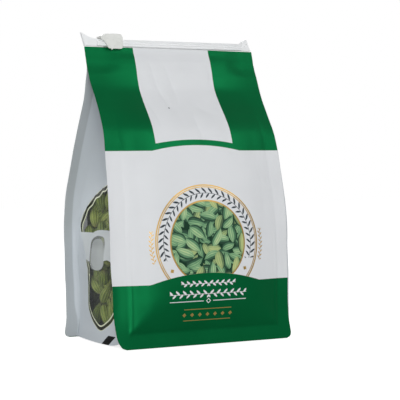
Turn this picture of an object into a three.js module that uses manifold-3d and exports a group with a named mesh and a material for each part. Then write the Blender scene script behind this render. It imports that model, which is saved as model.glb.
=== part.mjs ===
// A filled, closed stand-up pouch of green cardamom pods, in millimetres.
// The pouch stands on its flat bottom at z = 0, +Z up, its printed front faces -Y, and X runs along the zip.
// It is five sheets of film, sealed in pairs along four upright fins, with a clear window in each side.
import * as THREE from 'three';
import { mergeVertices } from 'three/addons/utils/BufferGeometryUtils.js';
import Module from 'manifold-3d';

const wasm = await Module();
wasm.setup();

// Film and seals. Real film is about 0.15 thick, so the sheets here are thickened to hold together.
const FILM = 0.4;
const GAP = 0.3;
const FILM_TOP = 183.5;
const FIN_WIDTH = 9;
const SKIRT_HEIGHT = 9;
const FLANGE_STEP = 0.85;
const ROUND_CORNER = { across: 7.8, up: 16 };
const SMALL_CORNER = { across: 3.5, up: 4 };

// Side views of the pouch as [height, size] pairs: half of its width at the fin tips, and the y of the
// front and back sheets where they meet the fins. The top leans back a little.
const HALF_WIDTH = [[0, 60.6], [5, 60.2], [14, 59.3], [30, 59.3], [50, 60], [84, 60], [110, 59.4],
  [130, 58.8], [150, 58.2], [165, 59], [FILM_TOP, 59]];
const FRONT_EDGE = [[0, -41.8], [9, -40.2], [30, -40], [60, -38.8], [84, -36.8], [104, -32.6], [122, -28.2],
  [130, -25.6], [140, -19.8], [150, -13], [160, -7], [170, -2.6], [FILM_TOP, 1.4]];
const BACK_EDGE = [[0, 40.7], [9, 39.4], [40, 39.8], [70, 39.8], [86, 37.4], [110, 28.2], [130, 18.6],
  [150, 8.6], [161, 4.6], [172, 3.8], [FILM_TOP, 3.9]];

// How far the filling pushes the front and back sheets out in the middle, and how far each side gusset
// tucks in along its centre fold: below the fill line it is pushed out instead.
const BULGE = [[0, 0], [SKIRT_HEIGHT, 6], [30, 6.5], [70, 6.2], [100, 5], [123, 3], [135, 2], [147, 0],
  [156, -1.2], [164, 0.5], [169, 2.4], [174, 2.2], [181, 0], [FILM_TOP, 0]];
const BULGE_REACH = 36;
const TUCK = [[0, -3], [20, -4.2], [50, -4], [62, -2.5], [72, 3], [84, 12], [96, 20], [110, 27], [125, 32],
  [140, 36], [150, 38], [168, 39.5]];
const GUSSET_TOP = 168;
const FOLD_HALF = 0.7;
const HEM_LIFT = 5.6;

// The clear window in each gusset, as [distance behind the centre fold, height], down its back side and up
// its front side. It is printed a little off the fold.
const WINDOW = [[0, 104.5], [12, 102.3], [19, 98], [25.5, 91.5], [30.5, 84], [33.7, 77], [34.2, 71],
  [31.5, 65], [25.5, 59], [19.5, 53], [16.6, 46], [16.8, 38], [18.4, 29], [18, 21], [13, 15], [5, 10.4],
  [-4, 8], [-11, 10.4], [-18.5, 14.4], [-24, 20.5], [-26, 29], [-26.5, 38], [-27, 47], [-29, 56], [-32, 65],
  [-33.2, 73], [-31.5, 82], [-26.5, 91], [-20, 97.6], [-12, 102.3]];

// The filling: pods round a packed core, up to the fill line.
const FILL_TOP = 112;
const POD = { length: 17, width: 8.2, sides: 5, rings: 4 };
const POD_ROWS = 8;
const POD_COLUMNS = 4;
const TOP_PODS = 10;

// The zip: two ribbed profiles pressed together, their ends melted flat into ears, and a slider over them.
const ZIP_Y = 2.65;
const TRACK = { bottom: 184, top: 188.4, half: 1.9, rib: 0.35, end: 51 };
const ZIP_FLANGE = { bottom: 172, half: 0.65, end: 45 };
const EAR_HALF = 1.1;
const LEFT_EAR = [[-59.2, 184], [-61.6, 192.2], [-58.5, 190.6], [-54.9, 189], [-50.4, 188.4], [-50.4, 184]];
const RIGHT_EAR = [[50.4, 184], [50.4, 188.4], [52, 190.2], [55, 191.4], [55.9, 188.6], [58, 184]];
const SLIDER = { left: -52, shoulder: -46.6, right: -34.6, top: 192, roof: 188.85, floor: 182.4, half: 3.6,
  channel: 2.35 };
const SLIDER_TAB = { from: -42.8, to: -41.4, drop: 0.6 };

const COLOUR = { film: 0xdfe2e4, grey: 0xb4babd, clear: 0xcdd6c0, zip: 0xe4e6e6, slider: 0xdcdcd6,
  pod: 0x7c8a52 };

// Smooth value between the pairs of a table, with the slope at each pair kept from overshooting.
function along(table, at) {
  const last = table.length - 1;
  if (at <= table[0][0]) return table[0][1];
  if (at >= table[last][0]) return table[last][1];
  let i = 0;
  while (table[i + 1][0] < at) i += 1;
  const rise = (k) => (table[k + 1][1] - table[k][1]) / (table[k + 1][0] - table[k][0]);
  const slope = (k) => {
    if (k === 0 || k === last) return rise(Math.min(k, last - 1));
    const [before, after] = [rise(k - 1), rise(k)];
    return before * after <= 0 ? 0 : (2 * before * after) / (before + after);
  };
  const span = table[i + 1][0] - table[i][0];
  const t = (at - table[i][0]) / span;
  const [t2, t3] = [t * t, t * t * t];
  return (2 * t3 - 3 * t2 + 1) * table[i][1] + (t3 - 2 * t2 + t) * span * slope(i)
    + (3 * t2 - 2 * t3) * table[i + 1][1] + (t3 - t2) * span * slope(i + 1);
}

// Width of a fin at a height, narrowed where its lower corner is cut round.
function finWidth(z, corner) {
  if (z >= corner.up) return FIN_WIDTH;
  const down = (corner.up - z) / corner.up;
  return FIN_WIDTH - corner.across * (1 - Math.sqrt(1 - down * down));
}

const rootX = (z) => along(HALF_WIDTH, z) - FIN_WIDTH;

// The pillow form of a broad sheet: it rises like a hipped roof from the fins and from the skirt.
function bulge(x, z) {
  const ease = (distance) => {
    const t = Math.min(Math.max(distance, 0) / BULGE_REACH, 1);
    return 1 - (1 - t) * (1 - t);
  };
  const sides = ease(rootX(z) - Math.abs(x));
  const foot = z < SKIRT_HEIGHT ? 0 : ease(z - SKIRT_HEIGHT);
  const power = 6;
  const nearest = sides * foot === 0 ? 0 : (sides ** -power + foot ** -power) ** (-1 / power);
  return along(BULGE, z) * nearest;
}

// Above the gussets the front and back fins are sealed straight to each other.
function pinched(x, z, y, toBack) {
  const { smoothstep } = THREE.MathUtils;
  const share = smoothstep(Math.abs(x), rootX(z) - 4, rootX(z)) * smoothstep(z, GUSSET_TOP, GUSSET_TOP + 6);
  const middle = (along(FRONT_EDGE, z) + along(BACK_EDGE, z)) / 2;
  return y + (middle + (toBack * (FILM + GAP)) / 2 - y) * share;
}

const frontY = (x, z) => pinched(x, z, along(FRONT_EDGE, z) - bulge(x, z), -1);
const backY = (x, z) => pinched(x, z, along(BACK_EDGE, z) + bulge(x, z), 1);

// Point of a gusset's web, from its front root (t = 0) over the centre fold to its back root (t = 1).
function webPoint(side, t, z, inward = 0) {
  const [front, back] = [along(FRONT_EDGE, z) + FLANGE_STEP, along(BACK_EDGE, z) - FLANGE_STEP];
  const flat = Math.min(FOLD_HALF / (back - front), 0.2);
  const tent = Math.min((0.5 - Math.abs(t - 0.5)) / (0.5 - flat), 1);
  const arc = 1 - (2 * t - 1) ** 2;
  const sharp = THREE.MathUtils.smoothstep(z, 40, 92) * 0.8 + 0.2;
  const tuck = along(TUCK, z);
  const lean = Math.hypot(1, tuck / ((back - front) / 2));
  const x = rootX(z) - tuck * (arc + (tent - arc) * sharp) - inward * lean;
  return new THREE.Vector3(side * x, front + (back - front) * t, z);
}

function geometryFrom(points, faces) {
  const geometry = new THREE.BufferGeometry();
  geometry.setAttribute('position', new THREE.Float32BufferAttribute(points.flatMap((p) => p.toArray()), 3));
  geometry.setIndex(faces);
  return geometry;
}

// Turns a closed body the right way out, by the sign of its volume.
function facedOut(points, faces) {
  let volume = 0;
  for (let f = 0; f < faces.length; f += 3) {
    const [a, b, c] = [points[faces[f]], points[faces[f + 1]], points[faces[f + 2]]];
    volume += a.dot(new THREE.Vector3().crossVectors(b, c));
  }
  return geometryFrom(points, volume > 0 ? faces : faces.slice().reverse());
}

// A sheet of film: a grid of points thickened half to each side, and closed round its rim.
function sheet(grid, thickness = FILM) {
  const [rows, columns] = [grid.length, grid[0].length];
  const points = [];
  for (const face of [-1, 1]) {
    for (let i = 0; i < rows; i += 1) {
      for (let j = 0; j < columns; j += 1) {
        const up = grid[Math.min(i + 1, rows - 1)][j].clone().sub(grid[Math.max(i - 1, 0)][j]);
        const over = grid[i][Math.min(j + 1, columns - 1)].clone().sub(grid[i][Math.max(j - 1, 0)]);
        const normal = up.cross(over).normalize();
        points.push(grid[i][j].clone().addScaledVector(normal, (face * thickness) / 2));
      }
    }
  }
  const at = (face, i, j) => face * rows * columns + i * columns + j;
  const faces = [];
  const quad = (a, b, c, d) => faces.push(a, b, c, a, c, d);
  for (let i = 0; i < rows - 1; i += 1) {
    for (let j = 0; j < columns - 1; j += 1) {
      quad(at(0, i, j), at(0, i, j + 1), at(0, i + 1, j + 1), at(0, i + 1, j));
      quad(at(1, i, j), at(1, i + 1, j), at(1, i + 1, j + 1), at(1, i, j + 1));
    }
  }
  for (let i = 0; i < rows - 1; i += 1) {
    quad(at(0, i, 0), at(0, i + 1, 0), at(1, i + 1, 0), at(1, i, 0));
    quad(at(0, i + 1, columns - 1), at(0, i, columns - 1), at(1, i, columns - 1), at(1, i + 1, columns - 1));
  }
  for (let j = 0; j < columns - 1; j += 1) {
    quad(at(0, 0, j + 1), at(0, 0, j), at(1, 0, j), at(1, 0, j + 1));
    quad(at(0, rows - 1, j), at(0, rows - 1, j + 1), at(1, rows - 1, j + 1), at(1, rows - 1, j));
  }
  return facedOut(points, faces);
}

// Solids are joined and cut as manifolds.
function solid(geometry) {
  const bare = new THREE.BufferGeometry();
  bare.setAttribute('position', geometry.getAttribute('position'));
  if (geometry.index) bare.setIndex(geometry.index);
  const merged = mergeVertices(bare, 1e-5);
  return new wasm.Manifold(new wasm.Mesh({
    numProp: 3,
    vertProperties: new Float32Array(merged.getAttribute('position').array),
    triVerts: new Uint32Array(merged.index.array),
  }));
}

function geometryOf(manifold) {
  const mesh = manifold.getMesh();
  const geometry = new THREE.BufferGeometry();
  geometry.setAttribute('position', new THREE.BufferAttribute(new Float32Array(mesh.vertProperties), 3));
  geometry.setIndex(new THREE.BufferAttribute(new Uint32Array(mesh.triVerts), 1));
  return geometry;
}

// An outline in x and z, drawn out along y between two depths.
function slab(outline, fromY, toY) {
  const shape = new THREE.Shape(outline.map(([x, z]) => new THREE.Vector2(x, z)));
  const geometry = new THREE.ExtrudeGeometry(shape, { depth: toY - fromY, bevelEnabled: false });
  return geometry.rotateX(Math.PI / 2).translate(0, toY, 0);
}

function box(low, high) {
  const size = high.map((value, i) => value - low[i]);
  return new THREE.BoxGeometry(...size).translate(...low.map((value, i) => value + size[i] / 2));
}

// Rows of the sheets are closer together where the film bends.
const PANEL_ROWS = [0, 1.2, 4, 9, 14, 21, 30, 42, 56, 70, 84, 97, 108, 118, 126, 133, 140, 147, 153, 159, 164,
  GUSSET_TOP, 174, 181, FILM_TOP];
const PANEL_COLUMNS = [0, 0.08, 0.2, 0.34, 0.5, 0.68, 0.84, 1];

function broadPanel(depthAt, leftCorner, rightCorner) {
  const grid = PANEL_ROWS.map((z) => {
    const root = rootX(z);
    const half = PANEL_COLUMNS.map((share) => root * (1 - share));
    const columns = [...half.map((x) => -x), ...half.slice(0, -1).reverse()];
    const tips = [[-1, leftCorner], [1, rightCorner]].map(([side, corner]) => {
      const reach = finWidth(z, corner);
      return [side * (root + reach), side * (root + reach / 2)];
    });
    return [tips[0][0], tips[0][1], ...columns, tips[1][1], tips[1][0]]
      .map((x) => new THREE.Vector3(x, depthAt(x, z), z));
  });
  return sheet(grid);
}

// A gusset: its two flanges back the front and back fins, and the web between them folds inwards.
const SHARED_ROWS = PANEL_ROWS.filter((z) => z > 0 && z <= GUSSET_TOP);
const GUSSET_ROWS = [0.4, 63, 77, 90, ...SHARED_ROWS].sort((a, b) => a - b);
const WEB_STEPS = [0, 0.12, 0.27, 0.42];

function gussetGrid(side, frontCorner, backCorner) {
  return GUSSET_ROWS.map((height) => {
    const lifted = (t) => {
      const lift = t < 0.3 ? HEM_LIFT * (1 - t / 0.3) ** 2 : 0;
      return height < 20 ? height + lift * (1 - height / 20) : height;
    };
    const flange = (t, corner, share) => {
      const z = lifted(t);
      const point = webPoint(side, t, z);
      point.x += side * finWidth(z, corner) * share;
      return point;
    };
    const span = along(BACK_EDGE, height) - along(FRONT_EDGE, height) - 2 * FLANGE_STEP;
    const fold = 0.5 - Math.min(FOLD_HALF / span, 0.2);
    const half = [...WEB_STEPS.filter((t) => t < fold - 0.03), fold];
    while (half.length < WEB_STEPS.length + 1) half.splice(1, 0, half[1] / 2);
    const web = [...half, ...half.slice().reverse().map((t) => 1 - t)];
    const points = web.map((t) => webPoint(side, t, lifted(t)));
    return [flange(0, frontCorner, 1), flange(0, frontCorner, 0.5), ...points,
      flange(1, backCorner, 0.5), flange(1, backCorner, 1)];
  });
}

// The window's outline at true place, grown or shrunk, as a prism that passes through one gusset.
function windowPrism(side, grow) {
  const curve = new THREE.SplineCurve([...WINDOW, WINDOW[0]].map(([off, z]) => new THREE.Vector2(off, z)));
  const centre = new THREE.Vector2(0, 57);
  const outline = curve.getPoints(44).slice(0, -1).map((p) => {
    const away = p.clone().sub(centre);
    return centre.clone().add(away.setLength(away.length() + grow));
  });
  const placed = outline.map((p) => {
    const [front, back] = [along(FRONT_EDGE, p.y), along(BACK_EDGE, p.y)];
    const full = along(BACK_EDGE, 60) - along(FRONT_EDGE, 60);
    return new THREE.Vector2((front + back) / 2 + (p.x * (back - front)) / full, p.y);
  });
  const reach = 40;
  const geometry = new THREE.ExtrudeGeometry(new THREE.Shape(placed), { depth: reach, bevelEnabled: false });
  geometry.applyMatrix4(new THREE.Matrix4().makeBasis(
    new THREE.Vector3(0, 1, 0), new THREE.Vector3(0, 0, 1), new THREE.Vector3(1, 0, 0)));
  return solid(geometry.translate(side > 0 ? 20 : -20 - reach, 0, 0));
}

function bottomFilm() {
  const steps = [-1, -0.93, -0.86, -0.79, -0.7, -0.35, 0, 0.35, 0.7, 0.79, 0.86, 0.93, 1];
  const [halfX, halfY, rim] = [49.2, 37.9, 7];
  return sheet(steps.map((v) => steps.map((u) => {
    const out = Math.max(0, ((u ** 8 + v ** 8) ** (1 / 8) - 0.7) / 0.3);
    return new THREE.Vector3(u * halfX, v * halfY, FILM / 2 + rim * Math.min(out, 1) ** 2);
  })));
}

// The space inside the film up to the fill line, kept back from the broad sheets and from the gussets.
function insideSpace(fromPanels, fromGussets) {
  const straight = [21, 30, 42, 56, 63, 70, 77, 84, 90, 97].map((z) => [z, 1]);
  const levels = [[1, 0.58], [2.6, 0.7], [5, 0.8], [9, 0.91], [14, 0.98], ...straight, [104, 0.97],
    [FILL_TOP, 0.86], [FILL_TOP + 4, 0.6]];
  const across = [-1, -0.72, -0.4, 0, 0.4, 0.72, 1];
  const over = [0.12, 0.27, 0.42, 0.5, 0.58, 0.73, 0.88];
  const rings = levels.map(([z, shrink]) => {
    const ring = [];
    const edge = rootX(z) - fromPanels - 0.4;
    for (const u of across) ring.push(new THREE.Vector3(u * edge, frontY(u * edge, z) + fromPanels, z));
    for (const t of over) ring.push(webPoint(1, t, z, fromGussets));
    for (const u of across) ring.push(new THREE.Vector3(-u * edge, backY(u * edge, z) - fromPanels, z));
    for (const t of over) ring.push(webPoint(-1, 1 - t, z, fromGussets));
    const middle = (along(FRONT_EDGE, z) + along(BACK_EDGE, z)) / 2;
    return ring.map((p) => new THREE.Vector3(p.x * shrink, middle + (p.y - middle) * shrink, z));
  });
  const count = rings[0].length;
  const points = rings.flat();
  const faces = [];
  for (let k = 0; k < rings.length - 1; k += 1) {
    for (let i = 0; i < count; i += 1) {
      const [a, b] = [k * count + i, k * count + ((i + 1) % count)];
      faces.push(a, b, b + count, a, b + count, a + count);
    }
  }
  for (const [k, turned] of [[0, true], [rings.length - 1, false]]) {
    const centre = points.length;
    points.push(rings[k].reduce((sum, p) => sum.add(p), new THREE.Vector3()).divideScalar(count));
    for (let i = 0; i < count; i += 1) {
      const [a, b] = [k * count + i, k * count + ((i + 1) % count)];
      faces.push(...(turned ? [b, a, centre] : [a, b, centre]));
    }
  }
  return solid(facedOut(points, faces));
}

// A small random draw that gives the same heap each time.
function seeded(seed) {
  let state = seed;
  return () => {
    state = (state * 1664525 + 1013904223) % 4294967296;
    return state / 4294967296;
  };
}

// One pod: a spindle, fatter towards its stalk end, turned on its own axis.
function podSolid(centre, axis, scale, roll) {
  const profile = [];
  for (let k = 0; k <= POD.rings; k += 1) {
    const t = k / POD.rings;
    const radius = (POD.width / 2) * Math.sin(Math.PI * t ** 0.85) ** 0.8;
    profile.push(new THREE.Vector2(k === 0 || k === POD.rings ? 0 : radius, (t - 0.5) * POD.length));
  }
  const geometry = new THREE.LatheGeometry(profile, POD.sides);
  geometry.rotateY(roll).scale(scale, scale, scale);
  geometry.applyQuaternion(new THREE.Quaternion().setFromUnitVectors(new THREE.Vector3(0, 1, 0), axis));
  return solid(geometry.translate(centre.x, centre.y, centre.z));
}

// Pods against each window in staggered rows, and a few on top of the heap.
function podHeap() {
  const draw = seeded(7);
  const pods = [];
  for (const side of [-1, 1]) {
    for (let row = 0; row < POD_ROWS; row += 1) {
      for (let column = 0; column < POD_COLUMNS; column += 1) {
        const z = 15 + (row * 84) / (POD_ROWS - 1) + (draw() - 0.5) * 3;
        const t = 0.23 + ((column + (row % 2) * 0.5) * 0.47) / (POD_COLUMNS - 0.5) + (draw() - 0.5) * 0.03;
        const here = webPoint(side, t, z);
        const over = webPoint(side, t + 0.02, z).sub(here).normalize();
        const up = webPoint(side, t, z + 1).sub(here).normalize();
        const inward = new THREE.Vector3().crossVectors(up, over).multiplyScalar(side);
        if (inward.x * side > 0) inward.negate();
        const turn = draw() * Math.PI;
        const axis = over.multiplyScalar(Math.cos(turn)).addScaledVector(up, Math.sin(turn)).normalize();
        pods.push(podSolid(here.addScaledVector(inward, 4.6), axis, 0.92 + draw() * 0.2, draw() * 6));
      }
    }
  }
  for (let k = 0; k < TOP_PODS; k += 1) {
    const turn = k * 2.4;
    const out = 0.25 + 0.7 * Math.sqrt(k / TOP_PODS);
    const [alongX, alongY] = [Math.cos(turn) * 24 * out, Math.sin(turn) * 14 * out];
    const centre = new THREE.Vector3(alongX, alongY, FILL_TOP - 5 * out);
    const axis = new THREE.Vector3(Math.cos(turn * 3), Math.sin(turn * 3), (draw() - 0.5) * 0.6).normalize();
    pods.push(podSolid(centre, axis, 1, draw() * 6));
  }
  const core = insideSpace(1.5, 6.5);
  const heap = wasm.Manifold.union([core, ...pods]).intersect(insideSpace(0.9, 1));
  return heap.decompose().reduce((most, piece) => (piece.volume() > most.volume() ? piece : most));
}

// Half of the zip: a ribbed profile, its sealing flange inside the film, and its flattened ears.
function zipHalf(side) {
  const at = (off) => ZIP_Y + side * off;
  const ordered = (a, b) => [Math.min(a, b), Math.max(a, b)];
  const bands = 3;
  const band = (TRACK.top - TRACK.bottom) / bands;
  const section = [[GAP / 2, TRACK.bottom]];
  for (let k = 0; k < bands; k += 1) {
    const low = TRACK.bottom + k * band;
    const valley = TRACK.half - TRACK.rib;
    section.push([valley, low], [TRACK.half, low + band * 0.3], [TRACK.half, low + band * 0.75]);
  }
  section.push([TRACK.half - TRACK.rib, TRACK.top], [GAP / 2, TRACK.top]);
  const shape = new THREE.Shape(section.map(([off, z]) => new THREE.Vector2(off * side, z)));
  const track = new THREE.ExtrudeGeometry(shape, { depth: 2 * TRACK.end, bevelEnabled: false });
  track.applyMatrix4(new THREE.Matrix4().makeBasis(
    new THREE.Vector3(0, 1, 0), new THREE.Vector3(0, 0, 1), new THREE.Vector3(1, 0, 0)));
  track.translate(-TRACK.end, ZIP_Y, 0);
  const [low, high] = ordered(at(GAP / 2), at(ZIP_FLANGE.half));
  const flange = box([-ZIP_FLANGE.end, low, ZIP_FLANGE.bottom], [ZIP_FLANGE.end, high, TRACK.bottom + 1]);
  const ears = [LEFT_EAR, RIGHT_EAR].map((outline) => slab(outline, ...ordered(at(GAP / 2), at(EAR_HALF))));
  return geometryOf(wasm.Manifold.union([track, flange, ...ears].map(solid)));
}

// The slider: a short channel that straddles the zip, with a nose that slopes down to the closed end.
function sliderBody() {
  const { left, shoulder, right, top, floor, half, channel, roof } = SLIDER;
  const { from, to, drop } = SLIDER_TAB;
  const outline = [[left, roof + 0.1], [shoulder, top - 0.4], [shoulder + 1.4, top], [right - 0.9, top],
    [right - 0.3, top - 2], [right, floor + 0.8], [right - 0.8, floor], [to, floor], [to, floor - drop],
    [from, floor - drop], [from, floor], [shoulder + 2.4, floor], [shoulder + 0.4, floor + 1.8],
    [shoulder - 0.2, roof], [left + 0.5, roof]];
  const body = solid(slab(outline, ZIP_Y - half, ZIP_Y + half));
  const way = solid(box([left - 1, ZIP_Y - channel, floor - 2], [right + 1, ZIP_Y + channel, roof]));
  return geometryOf(body.subtract(way));
}

function finish(colour, roughness, opacity = 1) {
  const transparent = opacity < 1;
  return new THREE.MeshStandardMaterial({ color: colour, roughness, metalness: 0, opacity, transparent });
}

const pouch = new THREE.Group();

function add(name, geometry, material) {
  const mesh = new THREE.Mesh(geometry, material);
  mesh.name = name;
  pouch.add(mesh);
}

add('front_film', broadPanel(frontY, ROUND_CORNER, SMALL_CORNER), finish(COLOUR.film, 0.45));
add('back_film', broadPanel(backY, SMALL_CORNER, SMALL_CORNER), finish(COLOUR.film, 0.45));
for (const [name, side, corner] of [['left', -1, ROUND_CORNER], ['right', 1, SMALL_CORNER]]) {
  const whole = solid(sheet(gussetGrid(side, corner, SMALL_CORNER)));
  add(`${name}_gusset`, geometryOf(whole.subtract(windowPrism(side, 0))), finish(COLOUR.grey, 0.5));
  const pane = whole.intersect(windowPrism(side, -GAP));
  add(`${name}_window`, geometryOf(pane), finish(COLOUR.clear, 0.15, 0.3));
}
add('bottom_film', bottomFilm(), finish(COLOUR.grey, 0.5));
add('pod_fill', geometryOf(podHeap()), finish(COLOUR.pod, 0.75));
add('zip_front', zipHalf(-1), finish(COLOUR.zip, 0.35));
add('zip_back', zipHalf(1), finish(COLOUR.zip, 0.35));
add('zip_slider', sliderBody(), finish(COLOUR.slider, 0.3));

export default pouch;
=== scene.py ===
# Looks of a filled, closed slider-zip pouch of green cardamom pods, built round its CAD frame.
# The pouch stands on z = 0 with its printed front towards -Y. Sizes in the sections are in millimetres.
import math
import random

import bmesh
import bpy
from mathutils import Matrix, Vector, noise


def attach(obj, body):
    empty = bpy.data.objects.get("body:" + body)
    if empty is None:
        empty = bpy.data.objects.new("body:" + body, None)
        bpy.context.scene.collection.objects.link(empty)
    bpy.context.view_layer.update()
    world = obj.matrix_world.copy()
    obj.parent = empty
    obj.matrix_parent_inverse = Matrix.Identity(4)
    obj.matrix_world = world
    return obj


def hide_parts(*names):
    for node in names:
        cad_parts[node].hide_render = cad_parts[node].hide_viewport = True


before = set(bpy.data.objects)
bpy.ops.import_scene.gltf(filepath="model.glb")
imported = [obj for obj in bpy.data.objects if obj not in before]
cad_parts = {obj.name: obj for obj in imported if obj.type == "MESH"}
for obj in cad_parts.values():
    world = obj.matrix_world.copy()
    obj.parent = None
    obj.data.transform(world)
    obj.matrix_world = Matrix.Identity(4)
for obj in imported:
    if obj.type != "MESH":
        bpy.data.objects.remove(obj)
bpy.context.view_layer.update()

# The studio. The packet stands on a white sweep under one large soft light to its front and left,
# with a weaker one to its right, and is seen through a long lens level with its middle.
CAMERA_AIM = Vector((0, 0, 0.09175))
CAMERA_AWAY = 0.8297
CAMERA_TURN = math.radians(26.2)
CAMERA_PITCH = math.radians(0.57)
CAMERA_ROLL = math.radians(-0.87)

back = Vector((-math.sin(CAMERA_TURN) * math.cos(CAMERA_PITCH),
               -math.cos(CAMERA_TURN) * math.cos(CAMERA_PITCH), math.sin(CAMERA_PITCH)))
level = Vector((math.cos(CAMERA_TURN), -math.sin(CAMERA_TURN), 0))
upright = back.cross(level)
rolled_level = level * math.cos(CAMERA_ROLL) + upright * math.sin(CAMERA_ROLL)
rolled_upright = upright * math.cos(CAMERA_ROLL) - level * math.sin(CAMERA_ROLL)

lens = bpy.data.cameras.new("camera")
lens.sensor_width = 36
lens.lens = 117.36
lens.shift_x = 0.064
lens.shift_y = -0.0165
lens.clip_start = 0.01
lens.clip_end = 50
camera = bpy.data.objects.new("camera", lens)
camera.matrix_world = (Matrix.Translation(CAMERA_AIM + back * CAMERA_AWAY)
                       @ Matrix((rolled_level, rolled_upright, back)).transposed().to_4x4())
bpy.context.scene.collection.objects.link(camera)
bpy.context.scene.camera = camera
bpy.context.scene.view_settings.view_transform = "Standard"

LAMPS = (("key", (-0.42, -1.07, 0.28), 0.6, 6.0), ("fill", (0.5, -0.85, 0.78), 0.5, 1.8),
         ("side", (-1.1, 0.2, 0.42), 0.6, 2.6), ("rear", (0.6, 1.15, 0.5), 0.7, 3.6))
for name, place, size, watts in LAMPS:
    lamp = bpy.data.lights.new(name, "AREA")
    lamp.shape = "DISK"
    lamp.size = size
    lamp.energy = watts
    light = bpy.data.objects.new(name, lamp)
    light.location = place
    light.rotation_euler = (CAMERA_AIM - Vector(place)).to_track_quat("-Z", "Y").to_euler()
    bpy.context.scene.collection.objects.link(light)


def node(tree, kind, settings=None, **inputs):
    """A shader node with its settings, and its inputs either set or linked. Names use _ for a space."""
    made = tree.nodes.new(kind)
    for key, value in (settings or {}).items():
        setattr(made, key, value)
    for key, value in inputs.items():
        socket = made.inputs[int(key[1:])] if key[1:].isdigit() else made.inputs[key.replace("_", " ")]
        if isinstance(value, bpy.types.NodeSocket):
            tree.links.new(value, socket)
        else:
            socket.default_value = value
    return made


def material(name, **values):
    """A material with one Principled shader, its plain values set on the shader's own sockets."""
    made = bpy.data.materials.new(name)
    made.use_nodes = True
    shader = made.node_tree.nodes["Principled BSDF"]
    for key, value in values.items():
        shader.inputs[key.replace("_", " ")].default_value = value
    return made, made.node_tree, shader


def feed(target, **values):
    """Links values to the inputs of a shader or of a group's output."""
    for key, value in values.items():
        target.id_data.links.new(value, target.inputs[key.replace("_", " ")])


def own_position(tree):
    return node(tree, "ShaderNodeTexCoord").outputs["Object"]


def noise_at(position, **settings):
    return node(position.id_data, "ShaderNodeTexNoise", Vector=position, **settings).outputs["Fac"]


def remapped(value, **ends):
    """A value carried from one range to another."""
    return node(value.id_data, "ShaderNodeMapRange", Value=value, **ends).outputs[0]


def grid(shape, across, up, size=1):
    """Adds a flat grid to a shape and gives back its points."""
    return bmesh.ops.create_grid(shape, x_segments=across, y_segments=up, size=size)["verts"]


def placed(name, shape):
    """Puts a finished shape in the scene."""
    mesh = bpy.data.meshes.new(name)
    shape.to_mesh(mesh)
    shape.free()
    piece = bpy.data.objects.new(name, mesh)
    bpy.context.scene.collection.objects.link(piece)
    return piece


room = bpy.data.worlds.new("room")
bpy.context.scene.world = room
room.use_nodes = True
tree = room.node_tree
tree.nodes.clear()
soft = node(tree, "ShaderNodeBackground", Color=(0.97, 0.98, 1.0, 1), Strength=0.365)
white = node(tree, "ShaderNodeBackground", Color=(1, 1, 1, 1), Strength=1.0)
seen = node(tree, "ShaderNodeLightPath").outputs["Is Camera Ray"]
both = node(tree, "ShaderNodeMixShader", _0=seen, _1=soft.outputs[0], _2=white.outputs[0])
node(tree, "ShaderNodeOutputWorld", Surface=both.outputs[0])

floor_finish, tree, shader = material("white_sweep", Base_Color=(0.55, 0.55, 0.55, 1), Specular_IOR_Level=0.1,
                                      Emission_Color=(1, 1, 1, 1))
seen = node(tree, "ShaderNodeLightPath").outputs["Is Camera Ray"]
glow = node(tree, "ShaderNodeMath", {"operation": "MULTIPLY"}, _0=seen, _1=0.82).outputs[0]
grain = noise_at(own_position(tree), Scale=40, Detail=3)
feed(shader, Emission_Strength=glow, Roughness=remapped(grain, To_Min=0.8, To_Max=0.9))

shape = bmesh.new()
grid(shape, 2, 2, 4)
bmesh.ops.translate(shape, verts=shape.verts, vec=(0, 0, -0.0002))
floor = placed("floor", shape)
floor.data.materials.append(floor_finish)

# The front sheet: laminated film of about 0.15, printed on its inner layer and drawn a little thicker. It is
# heat-sealed to the gussets along an upright fin at each side and to the bottom along the skirt, and the
# filling pushes it out between them like a low hipped roof.
MM = 0.001
FILM = 0.22
FILM_TOP = 183.5
FIN_WIDTH = 9
SKIRT = 9
ROUND_CORNER = (7.8, 16)
SMALL_CORNER = (3.5, 4)
HALF_WIDTH = ((0, 60.6), (5, 60.2), (14, 59.3), (30, 59.3), (50, 60), (84, 60), (110, 59.4), (130, 58.8),
              (150, 58.2), (165, 59), (FILM_TOP, 59))
FRONT_EDGE = ((0, -40.7), (9, -40.2), (30, -40), (60, -38.8), (84, -36.8), (104, -32.6), (122, -28.2),
              (130, -25.6), (140, -19.8), (150, -13), (160, -7), (170, -2.6), (FILM_TOP, 1.4))
BACK_EDGE = ((0, 40.7), (9, 39.4), (40, 39.8), (70, 39.8), (86, 37.4), (110, 28.2), (130, 18.6), (150, 8.6),
             (161, 4.6), (172, 3.8), (FILM_TOP, 3.9))
BACK_FIN = ((130, 18.6), (144, 11), (152, 6.6), (158, 3.4), (164, 0.8), (168, -0.4), (174, 0.6),
            (FILM_TOP, 3.3))
BULGE = ((0, 0), (9, 6), (30, 6.5), (70, 6.2), (100, 5), (123, 3), (135, 2), (147, 0), (156, -1),
         (164, 0.2), (170, 1.3), (175, 1.2), (181, 0), (FILM_TOP, 0))
BULGE_REACH = 36
PINCH_FROM, PINCH_TO = 166, 174
PINCH_REACH = 14
FILL_FADE = (96, 116)
POD_DENT, BROAD_DENT, FOLD_DEPTH = 0.12, 0.4, 0.5
CREASE_HEIGHT, CREASE_OFF, CREASE_HALF = 0.4, 0.6, 0.75
FIN_WAVE, FIN_SWING = 0.8, 1.6
SHARP_EDGE = 0.9


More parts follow.
